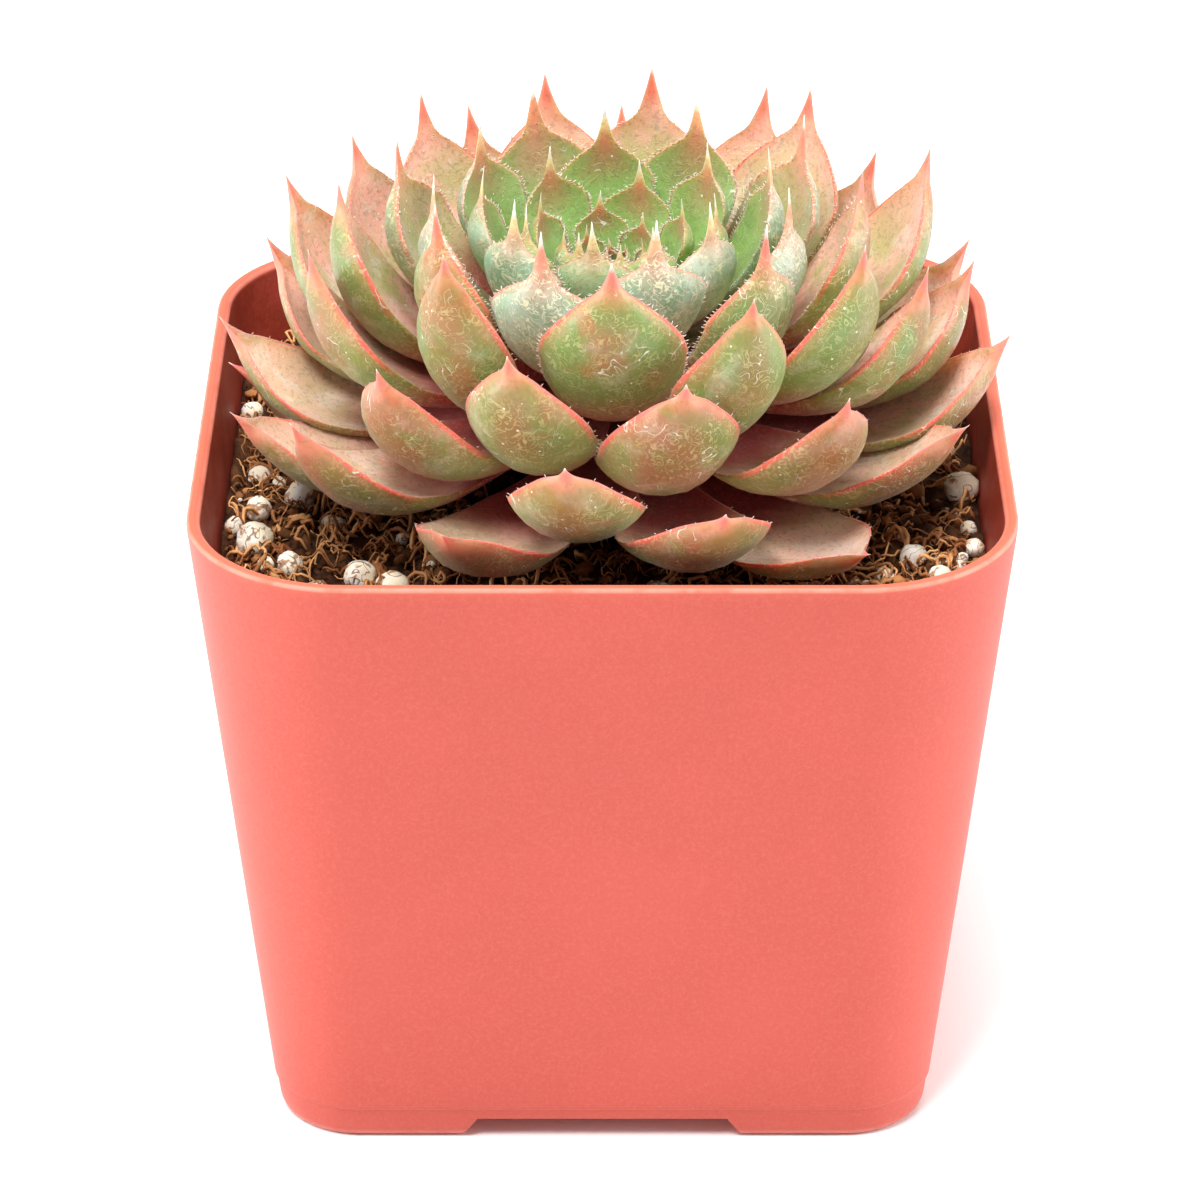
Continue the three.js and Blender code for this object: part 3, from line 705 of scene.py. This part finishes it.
# Extra grains in the mix: x, y and radius in millimetres.
LOOSE_GRAINS = [
    (-25.9, 1.0, 0.85), (-22.6, -3.3, 1.2), (-20.0, -7.6, 1.0), (-15.2, -18.2, 1.15), (-16.8, -19.6, 1.0),
    (-22.8, -14.6, 1.05), (-24.6, -14.2, 0.7), (-27.2, -8.6, 0.8), (25.8, -13.2, 0.85), (24.6, -16.0, 0.95),
    (27.2, -7.4, 0.7), (27.4, -11.2, 0.75), (20.6, -15.6, 0.75), (22.2, -9.6, 0.6), (-27.0, 11.0, 0.9),
    (-20.8, -17.6, 0.7), (-21.6, -0.6, 0.6), (26.2, 4.6, 0.8), (25.6, 14.2, 1.0), (21.4, 22.0, 1.1),
    (-22.4, 21.2, 1.2), (-14.2, 25.4, 0.9), (3.2, 26.6, 1.1), (12.4, 26.0, 0.8), (-24.8, 16.4, 0.8),
    (17.6, -20.8, 0.8), (-9.8, -26.0, 0.9), (11.6, -26.2, 1.0), (25.0, 9.2, 0.6), (-5.4, 27.0, 0.7),
]


def build_perlite(material):
    rng = random.Random(41)
    shape, faces = ball(4)
    for name in sorted(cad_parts):
        if not name.startswith("perlite"):
            continue
        low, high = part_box(name)
        middle = [(low[i] + high[i]) / 2 / MM for i in range(3)]
        radius = (high[0] - low[0]) / 2 / MM
        points = grain_mesh(rng, middle[0], middle[1], middle[2], radius, shape)
        grain = mesh_piece(name + "_grain", points, faces, [material])
        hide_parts(name)
        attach(grain, "root")
    shape, shape_faces = ball(3)
    vertices = []
    faces = []
    spots = list(LOOSE_GRAINS)
    for _ in range(SMALL_GRAIN_COUNT):
        x, y = scatter_spot(rng, 0.8, 12.0)
        spots.append((x, y, 0.16 + 0.42 * rng.random() ** 3))
    for x, y, radius in spots:
        if not inside_pot(x, y, radius + 0.1):
            continue
        z = soil_height(x, y) + radius * 0.35
        start = len(vertices)
        points = grain_mesh(rng, x, y, z, radius, shape)
        vertices += list(points)
        faces += [tuple(start + i for i in face) for face in shape_faces]
    fines = mesh_piece("perlite_loose", vertices, faces, [material])
    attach(fines, "root")


# ---------------------------------------------------------------- rosette

CENTRE = (0.8, -0.3)
GOLDEN_ANGLE = 137.5
FIRST_LEAF_ANGLE = 305.0
# Ages and colours run over this many leaves, from the oldest to the youngest.
LEAF_COUNT = 88
# The smallest leaves, folded shut over the growing tip.
HEART_LEAVES = 8
FIRST_BUD_LEAF = 57
SHED_LEAVES = (10, 11, 13, 21, 24, 26, 27)
TIP_RADIUS = [
    (0, 29.8), (18, 29), (29, 24.2), (40, 22.4), (50, 18.6),
    (58, 15.2), (66, 10.9), (77, 5.6), (88, 1.3), (96, 0.25),
]
TIP_HEIGHT = [
    (0, 49.4), (6, 54), (18, 57.6), (29, 62.4), (37, 64.4), (45, 67.8),
    (52, 70), (66, 69.8), (77, 66), (88, 62.6),
]
BACK_REACH = [(0, 0), (16, 0), (30, 2), (46, 2), (60, 0), (88, 0)]
HALF_WIDTH = [
    (0, 5.5), (20, 5.4), (50, 5.3), (60, 4.5), (66, 3.6), (72, 2.9), (80, 2.0), (88, 1.0), (96, 0.6),
]
THICKNESS = [
    (0, 2.0), (16, 2.1), (29, 2.5), (42, 2.5), (50, 2.5), (60, 2.1), (70, 1.7), (80, 1.2),
    (88, 0.7), (96, 0.45),
]
BASE_PITCH = [(0, 2), (29, 2), (50, 8), (66, 32), (88, 80)]
TIP_PITCH = [(0, 26), (3, 40), (8, 50), (18, 58), (29, 68), (40, 77), (50, 86), (66, 96), (88, 96)]
BASE_HANDLE = 0.48
TIP_HANDLE = 0.44
WAYWARD_LEAVES = {
    0: (3, 0, -0.4),
    3: (-7, -0.5, 0.4),
    5: (-7, -0.3, 1.4),
    6: (0, 0.3, 0),
    14: (-4, 0.3, -0.6),
    16: (-2, -0.5, 1.2),
    18: (3, 0.5, -0.5),
    19: (6, 0.8, -1.2),
    23: (-4, 1, -0.5),
    29: (4, 0, 0),
    31: (0, 2, -2),
    32: (3, 1, -2),
    34: (0, 2.5, -4),
    35: (-8, 1, 1.5),
    37: (-5, 0.5, -0.5),
    38: (-3, 0, 0),
    39: (0, 0.8, -1),
    40: (-8, 0, -0.5),
    41: (-8, 0, 0.8),
    42: (6, 0, 0.5),
    43: (-2, -0.3, 0),
    44: (-1, 2.2, 0.8),
    45: (-4, 0, 1.5),
    46: (4, 0, -0.5),
    47: (5, 1.2, -0.8),
    49: (-3, 1, 0),
    51: (4, 0.6, -0.3),
    53: (0, -1.5, 0),
    55: (8, 0.5, 0),
}
LOWEST_LEAF_BASE = 46.8
HIGHEST_LEAF_BASE = 57.8
LEAF_BASE_RADIUS = 4.8
BUD_BASE_RADIUS = 0.9
# How far along a leaf it is widest.
WIDEST = 0.68
# Length of a leaf's sharp tip as part of the leaf: worn short on old front leaves, long behind and inside.
SHORT_SPIKE = 0.055
LONG_SPIKE = 0.12
YOUNG_SPIKE = 0.17
# Hairs on the margins: dense on leaves younger than YOUNG_FROM, sparse and short on old ones.
YOUNG_FROM = 0.55
LONGEST_LEAF = 24.0
YOUNG_CILIA_SPACING = 0.4
OLD_CILIA_SPACING = 1.3
CILIA_LENGTH = (0.22, 0.46)
YOUNG_CILIA_RADIUS = 0.07
OLD_CILIA_RADIUS = 0.05
# Some leaves are slimmer than their neighbours.
SLIM_LEAVES = {8: 0.96, 16: 0.92, 29: 0.94, 37: 0.87, 42: 0.86, 45: 0.76, 53: 0.8, 55: 0.86}


def bezier(points, t):
    a, b, c, d = points
    t = t[:, None]
    return (1 - t) ** 3 * a + 3 * (1 - t) ** 2 * t * b + 3 * (1 - t) * t ** 2 * c + t ** 3 * d


def bezier_heading(points, t):
    a, b, c, d = points
    t = t[:, None]
    way = 3 * (1 - t) ** 2 * (b - a) + 6 * (1 - t) * t * (c - b) + 3 * t ** 2 * (d - c)
    return way / np.linalg.norm(way, axis=1, keepdims=True)


class Leaf:
    """One leaf: its middle line in the plane through the rosette's axis, and its outline and section."""

    def __init__(self, index):
        rng = random.Random(1000 + index)
        turn, reach, lift = WAYWARD_LEAVES.get(index, (0, 0, 0))
        self.index = index
        self.age = index / LEAF_COUNT
        self.chance = rng.random()
        self.angle = math.radians(FIRST_LEAF_ANGLE - GOLDEN_ANGLE * index + turn)
        backward = (1 + math.sin(self.angle)) / 2
        base = np.array([
            LEAF_BASE_RADIUS + (BUD_BASE_RADIUS - LEAF_BASE_RADIUS) * self.age,
            LOWEST_LEAF_BASE + (HIGHEST_LEAF_BASE - LOWEST_LEAF_BASE) * self.age,
        ])
        tip = np.array([
            along(TIP_RADIUS, index) + along(BACK_REACH, index) * backward + reach,
            along(TIP_HEIGHT, index) + lift,
        ])
        span = np.linalg.norm(tip - base)
        base_pitch = math.radians(along(BASE_PITCH, index))
        tip_pitch = math.radians(along(TIP_PITCH, index))
        self.line = (
            base,
            base + span * BASE_HANDLE * np.array([math.cos(base_pitch), math.sin(base_pitch)]),
            tip - span * TIP_HANDLE * np.array([math.cos(tip_pitch), math.sin(tip_pitch)]),
            tip,
        )
        full = along(HALF_WIDTH, index) * SLIM_LEAVES.get(index, 1)
        self.half_width = full * (1 + 0.05 * rng.uniform(-1, 1))
        self.thickness = along(THICKNESS, index) * (1 + 0.07 * rng.uniform(-1, 1))
        young = float(smoothstep(0.52, 0.66, self.age))
        mature = SHORT_SPIKE + (LONG_SPIKE - SHORT_SPIKE) * backward
        self.blade_end = 1 - mature - (YOUNG_SPIKE - mature) * young
        self.flare = float(np.interp(1 - self.blade_end, [SHORT_SPIKE, LONG_SPIKE], [0.16, 0.22]))
        self.blunt = float(1 - smoothstep(0.34, 0.52, self.age)) * (1 - 0.5 * backward)
        self.dome = 1.68 + 0.3 * self.blunt + 0.3 * (1 - backward)
        self.cup = float(np.interp(index, [0, 20, 45, 60], [1.2, 1.0, 0.4, 0.0]))
        self.sweep = rng.uniform(-0.5, 0.5)
        self.seed = Vector((rng.uniform(0, 90), rng.uniform(0, 90), rng.uniform(0, 90)))

    def width_at(self, part):
        swell = 0.34 + 0.66 * np.sin(np.clip(part / WIDEST, 0, 1) * math.pi / 2) ** 1.5
        fall = np.clip((part - WIDEST) / (self.blade_end + 0.015 - WIDEST), 0, 1)
        ogive = (1 - fall ** self.dome) ** (0.96 - 0.08 * self.blunt)
        blade = np.where(part < WIDEST, swell, ogive)
        spike = self.flare * np.clip((1 - part) / (1 - self.blade_end), 0, 1.3) ** 1.35 + 0.008
        spike = np.where(part > WIDEST, spike, 0)
        return (blade ** 2.4 + spike ** 2.4) ** (1 / 2.4)

    def thick_at(self, part):
        rise = 0.22 + 0.78 * np.sin(np.clip(part / 0.6, 0, 1) * math.pi / 2) ** 1.4
        fall = np.clip((part - 0.6) / (self.blade_end + 0.03 - 0.6), 0, 1)
        blade = np.where(part < 0.6, rise, (1 - fall ** 2.1) ** 0.8)
        spike = 0.22 * np.clip((1 - part) / (1 - self.blade_end), 0, 1) ** 1.4 + 0.01
        return np.maximum(blade, np.where(part > 0.6, spike, 0))

    def points(self, part, across, outer):
        """Places on the leaf. across runs from -1 to 1 and outer is 1 on the lower face, 0 on the upper."""
        middle = bezier(self.line, part)
        heading = bezier_heading(self.line, part)
        half = self.half_width * self.width_at(part)
        thick = self.thickness * self.thick_at(part)
        spread = 1 - np.abs(across) ** 2.1
        depth = np.where(
            outer > 0.5,
            thick * (0.97 * np.clip(spread, 0, 1) ** 0.84 + 0.03),
            0.16 * thick * np.clip(spread, 0, 1),
        )
        # The margins stand up, so the leaf is a shallow boat.
        blade = smoothstep(1.0, 0.9, part)
        depth = depth + self.cup * blade * part * (0.35 - across ** 2) * 0.8
        radius = middle[:, 0] + heading[:, 1] * depth
        height = middle[:, 1] - heading[:, 0] * depth
        side = across * half + self.sweep * part ** 2
        turn = self.angle + side / np.maximum(middle[:, 0], 0.8)
        x = CENTRE[0] + radius * np.cos(turn)
        y = CENTRE[1] + radius * np.sin(turn)
        return np.stack([x, y, height], axis=1)


def leaf_stations(leaf, fine):
    body = np.linspace(0, 0.62, 13 if fine else 8)
    shoulder = np.linspace(0.62, leaf.blade_end, 20 if fine else 12)[1:]
    spike = np.linspace(leaf.blade_end, 1.0, 9 if fine else 6)[1:]
    return np.concatenate([body, shoulder, spike])


def leaf_skin(leaf, fine):
    parts = leaf_stations(leaf, fine)
    half_ring = 13 if fine else 9
    sweep = -np.cos(np.linspace(0, math.pi, half_ring))
    across = np.concatenate([sweep, sweep[::-1][1:-1]])
    outer = np.concatenate([np.ones(half_ring), np.zeros(half_ring - 2)])
    count = len(across)
    grid_part = np.repeat(parts, count)
    grid_across = np.tile(across, len(parts))
    grid_outer = np.tile(outer, len(parts))
    points = leaf.points(grid_part, grid_across, grid_outer)
    # Growth is never quite even.
    swell = np.array([noise.noise(Vector(p) * 0.33 + leaf.seed) for p in points])
    points[:, 2] += 0.16 * swell * smoothstep(1.0, 0.85, grid_part)
    rings = points.reshape(len(parts), count, 3)
    vertices, faces = skin_rings(list(rings))
    place = np.stack([grid_part, np.abs(grid_across), grid_outer], axis=1)
    place = np.concatenate([place, [[0, 0, 1], [1, 0, 1]]])
    life = np.tile([leaf.age, leaf.chance, leaf.blade_end], (len(vertices), 1))
    return vertices, [face[::-1] for face in faces], place, life


def leaf_cilia(leaf, start):
    """Fine hairs on a leaf's margins: three-sided spikes that lean towards the tip."""
    rng = random.Random(5000 + leaf.index)
    inner = leaf.age > YOUNG_FROM
    spacing = YOUNG_CILIA_SPACING if inner else OLD_CILIA_SPACING
    margin = LONGEST_LEAF * (1 - 0.6 * max(0.0, leaf.age - 0.5))
    count = int(margin * 0.6 / spacing)
    part = []
    across = []
    for k in range(count):
        for side in (-1.0, 1.0):
            place = 0.4 + (leaf.blade_end - 0.38) * (k + rng.uniform(0.1, 0.9)) / count
            part.append(place)
            across.append(side)
    part = np.array(part)
    across = np.array(across)
    root = leaf.points(part, across, np.zeros(len(part)))
    ahead = leaf.points(np.minimum(part + 0.01, 1), across, np.zeros(len(part))) - root
    outward = root - leaf.points(part, across * 0.9, np.zeros(len(part)))
    ahead /= np.linalg.norm(ahead, axis=1, keepdims=True)
    outward /= np.linalg.norm(outward, axis=1, keepdims=True) + 1e-9
    vertices = []
    faces = []
    places = []
    for i in range(len(part)):
        size = rng.uniform(*CILIA_LENGTH) * (1.0 if inner else 0.7)
        lean = np.array([rng.uniform(-0.35, 0.35) for _ in range(3)])
        way = outward[i] + 0.5 * ahead[i] + lean
        way /= np.linalg.norm(way)
        right = np.cross(way, [0.3, 0.2, 0.9])
        right /= np.linalg.norm(right)
        up = np.cross(right, way)
        foot = root[i] - way * 0.06
        width = YOUNG_CILIA_RADIUS if inner else OLD_CILIA_RADIUS
        first = start + len(vertices)
        for k in range(3):
            a = math.tau * k / 3
            vertices.append(foot + width * (math.cos(a) * right + math.sin(a) * up))
            places.append((0.0, 0.0, 1.0))
        vertices.append(foot + way * size)
        places.append((1.0, 0.0, 1.0))
        for k in range(3):
            faces.append((first + k, first + (k + 1) % 3, first + 3))
        faces.append((first + 2, first + 1, first))
    return vertices, faces, places


def build_leaf_piece(name, leaves, materials, fine, slot, *nodes):
    vertices = []
    faces = []
    places = []
    lives = []
    kinds = []
    for leaf in leaves:
        skin_vertices, skin_faces, place, life = leaf_skin(leaf, fine)
        start = len(vertices)
        vertices += list(skin_vertices)
        faces += [tuple(start + i for i in face) for face in skin_faces]
        places += list(place)
        lives += list(life)
        kinds += [0] * len(skin_faces)
        hair_vertices, hair_faces, hair_places = leaf_cilia(leaf, len(vertices))
        vertices += hair_vertices
        faces += hair_faces
        places += hair_places
        lives += [(leaf.age, leaf.chance, leaf.blade_end)] * len(hair_vertices)
        kinds += [1] * len(hair_faces)
    piece = mesh_piece(name, vertices, faces, materials, {"leaf_place": places, "leaf_life": lives}, kinds)
    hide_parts(*nodes)
    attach(piece, "root")


def build_rosette():
    materials = [leaf_material(), cilia_material()]
    for index in range(FIRST_BUD_LEAF):
        if index in SHED_LEAVES:
            continue
        node = f"leaf_{index:02d}"
        build_leaf_piece(node + "_blade", [Leaf(index)], materials, True, "leaf", node)
    bud = [Leaf(index) for index in range(FIRST_BUD_LEAF, LEAF_COUNT + HEART_LEAVES)]
    build_leaf_piece("bud_leaves", bud, materials, False, "bud", "bud")


# ---------------------------------------------------------------- stage, light and camera

def build_stage():
    s = Shader("studio_floor")
    s.set(Base_Color=s.mix(s.ramp(s.noise(3.0, 2.0), 0.3, 0.7), srgb(250, 250, 250), srgb(253, 253, 253)))
    s.set(Roughness=0.9, Specular_IOR_Level=0.1, Emission_Color=(1, 1, 1, 1), Emission_Strength=0.0)
    s.set(Normal=s.bump(s.noise(200.0, 2.0), 0.05, 0.1))
    rings = []
    for radius, z in ((10, -12), (1500, -12), (1506, -10), (1508, -6), (1506, -2), (1500, 0), (10, 0)):
        angles = np.linspace(0, math.tau, 97)[:-1]
        rings.append(np.stack([radius * np.cos(angles), radius * np.sin(angles), np.full(96, z)], axis=1))
    vertices, faces = skin_rings(rings)
    floor = mesh_piece("studio_floor", vertices, faces, [s.material])


def area_light(name, place, aim, size, power):
    data = bpy.data.lights.new(name, "AREA")
    data.shape = "RECTANGLE"
    data.size, data.size_y = size
    data.energy = power
    light = bpy.data.objects.new(name, data)
    light.location = place
    light.rotation_euler = (Vector(aim) - Vector(place)).to_track_quat("-Z", "Y").to_euler()
    bpy.context.scene.collection.objects.link(light)


WORLD_STRENGTH = 0.3


def build_light():
    world = bpy.data.worlds.new("studio")
    world.use_nodes = True
    world.node_tree.nodes["Background"].inputs["Color"].default_value = (1, 1, 1, 1)
    world.node_tree.nodes["Background"].inputs["Strength"].default_value = WORLD_STRENGTH
    bpy.context.scene.world = world
    area_light("key", (-0.2, -0.42, 0.9), (0, 0, 0.04), (0.3, 0.3), 7.6)
    area_light("top", (0.05, 0.05, 1.0), (0, 0, 0.04), (0.4, 0.4), 6.0)
    area_light("left", (-0.75, -0.08, 0.26), (0, 0, 0.04), (0.4, 0.6), 5.4)
    area_light("right", (0.75, -0.08, 0.26), (0, 0, 0.04), (0.4, 0.6), 5.4)
    area_light("back", (0.1, 0.8, 0.6), (0, 0, 0.06), (0.8, 0.4), 2.4)


# The view: far enough that the pot's sides converge as they should, looking down a little under 28 degrees.
VIEW_PITCH = 27.63
VIEW_DISTANCE = 410.6
VIEW_AIM = (-0.17, 0.0, 32.85)
VIEW_LENS = 161.3


def build_camera():
    data = bpy.data.cameras.new("camera")
    data.lens = VIEW_LENS
    data.sensor_width = 36.0
    data.clip_start = 0.01
    data.clip_end = 20.0
    camera = bpy.data.objects.new("camera", data)
    pitch = math.radians(VIEW_PITCH)
    camera.location = (
        VIEW_AIM[0] * MM,
        (VIEW_AIM[1] - VIEW_DISTANCE * math.cos(pitch)) * MM,
        (VIEW_AIM[2] + VIEW_DISTANCE * math.sin(pitch)) * MM,
    )
    camera.rotation_euler = (math.pi / 2 - pitch, 0, 0)
    bpy.context.scene.collection.objects.link(camera)
    bpy.context.scene.camera = camera


# ---------------------------------------------------------------- assembly

build_camera()
build_light()
build_stage()
build_pot(pot_material())
soil = soil_material()
build_soil(soil)
build_crumbs(soil)
build_fibres(fibre_material())
build_perlite(perlite_material())
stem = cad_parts["stem_and_roots"]
for stem_slot in stem.material_slots:
    stem_slot.material = stem_material()
build_rosette()

scene = bpy.context.scene
scene.view_settings.view_transform = "Standard"
scene.view_settings.look = "None"
